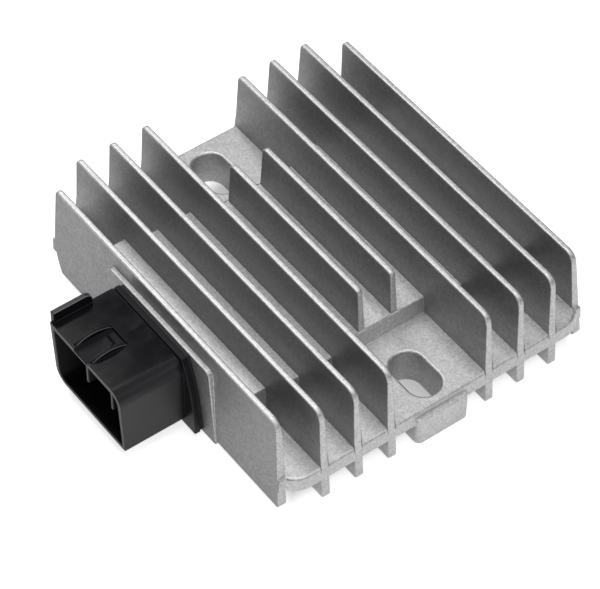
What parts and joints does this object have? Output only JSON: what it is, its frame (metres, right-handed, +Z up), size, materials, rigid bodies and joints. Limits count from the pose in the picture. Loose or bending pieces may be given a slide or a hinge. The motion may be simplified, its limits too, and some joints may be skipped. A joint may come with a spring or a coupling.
{
  "type": "voltage regulator rectifier",
  "caption": "Finned die-cast vehicle voltage regulator rectifier with slotted mounting feet, potted circuit tray and a keyed plastic connector on one side.",
  "frame": {"origin": "on the mounting face, midway between the two slotted holes", "axes": "+X along the fins and through both slotted holes, +Z up from the mounting face to the fin tops, the connector on the -Y side"},
  "size_m": [0.1045, 0.1117, 0.0288],
  "materials": {
    "cast_aluminium": "fine as-cast grain, blasted, unpainted",
    "black_plastic": "moulded, satin",
    "seal_rubber": "matt",
    "potting_resin": "poured and self-levelled, satin",
    "tinned_brass": "bright tin plating",
    "thermal_rubber": "matt",
    "board_laminate": "solder resist over insulated metal",
    "device_moulding": "moulded epoxy",
    "copper_strip": "plain copper",
    "capacitor_can": "drawn can",
    "resistor_body": "glazed chip"
  },
  "bodies": {
    "root": {"housing": "cast_aluminium", "connector_shell": "black_plastic", "connector_gasket": "seal_rubber", "potting_compound": "potting_resin", "terminal_lower_1": "tinned_brass", "terminal_lower_2": "tinned_brass", "terminal_lower_3": "tinned_brass", "terminal_upper_1": "tinned_brass", "terminal_upper_2": "tinned_brass", "terminal_upper_3": "tinned_brass", "thermal_sheet": "thermal_rubber", "circuit_board": "board_laminate", "thyristor_1": "device_moulding", "thyristor_2": "device_moulding", "thyristor_3": "device_moulding", "rectifier_diode_1": "device_moulding", "rectifier_diode_2": "device_moulding", "rectifier_diode_3": "device_moulding", "ground_bus": "copper_strip", "positive_bus": "copper_strip", "control_circuit": "device_moulding", "reference_diode": "device_moulding", "filter_capacitor": "capacitor_can", "gate_resistor_1": "resistor_body", "gate_resistor_2": "resistor_body", "gate_resistor_3": "resistor_body"}
  },
  "joints": []
}
